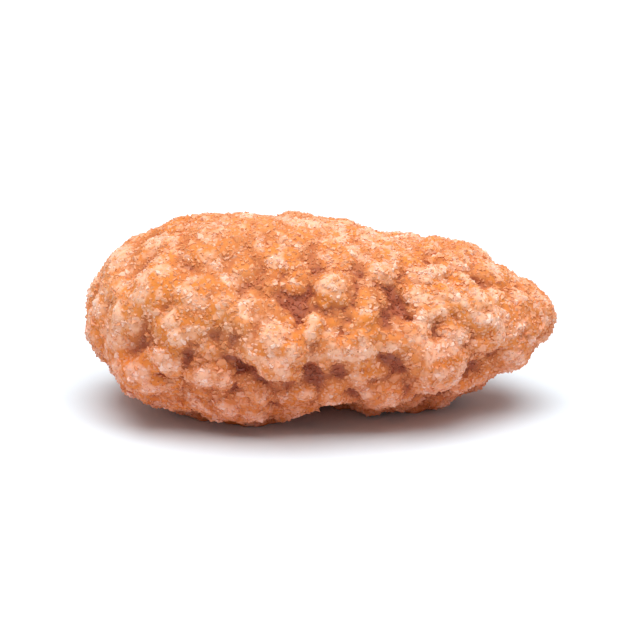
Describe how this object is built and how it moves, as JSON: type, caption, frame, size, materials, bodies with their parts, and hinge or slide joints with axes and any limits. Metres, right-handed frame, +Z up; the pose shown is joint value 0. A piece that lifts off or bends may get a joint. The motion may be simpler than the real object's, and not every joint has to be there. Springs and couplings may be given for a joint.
{
  "type": "cinnamon almond",
  "caption": "Roasted almond in a rough, knobbly crust of cooked cinnamon sugar, blunt at one end and tapered at the other, lying on its broad side.",
  "frame": {"origin": "centre of the bounding box at the surface that the almond lies on", "axes": "+X along the almond's length towards its pointed end, +Y across its breadth, +Z up through its thickness"},
  "size_m": [0.028, 0.0162, 0.0121],
  "materials": {
    "sugar_crust": "matt, grainy crust of crystallised cinnamon sugar, orange-brown with pale frost on its peaks"
  },
  "bodies": {
    "root": {"cinnamon_almond": "sugar_crust"}
  },
  "joints": []
}
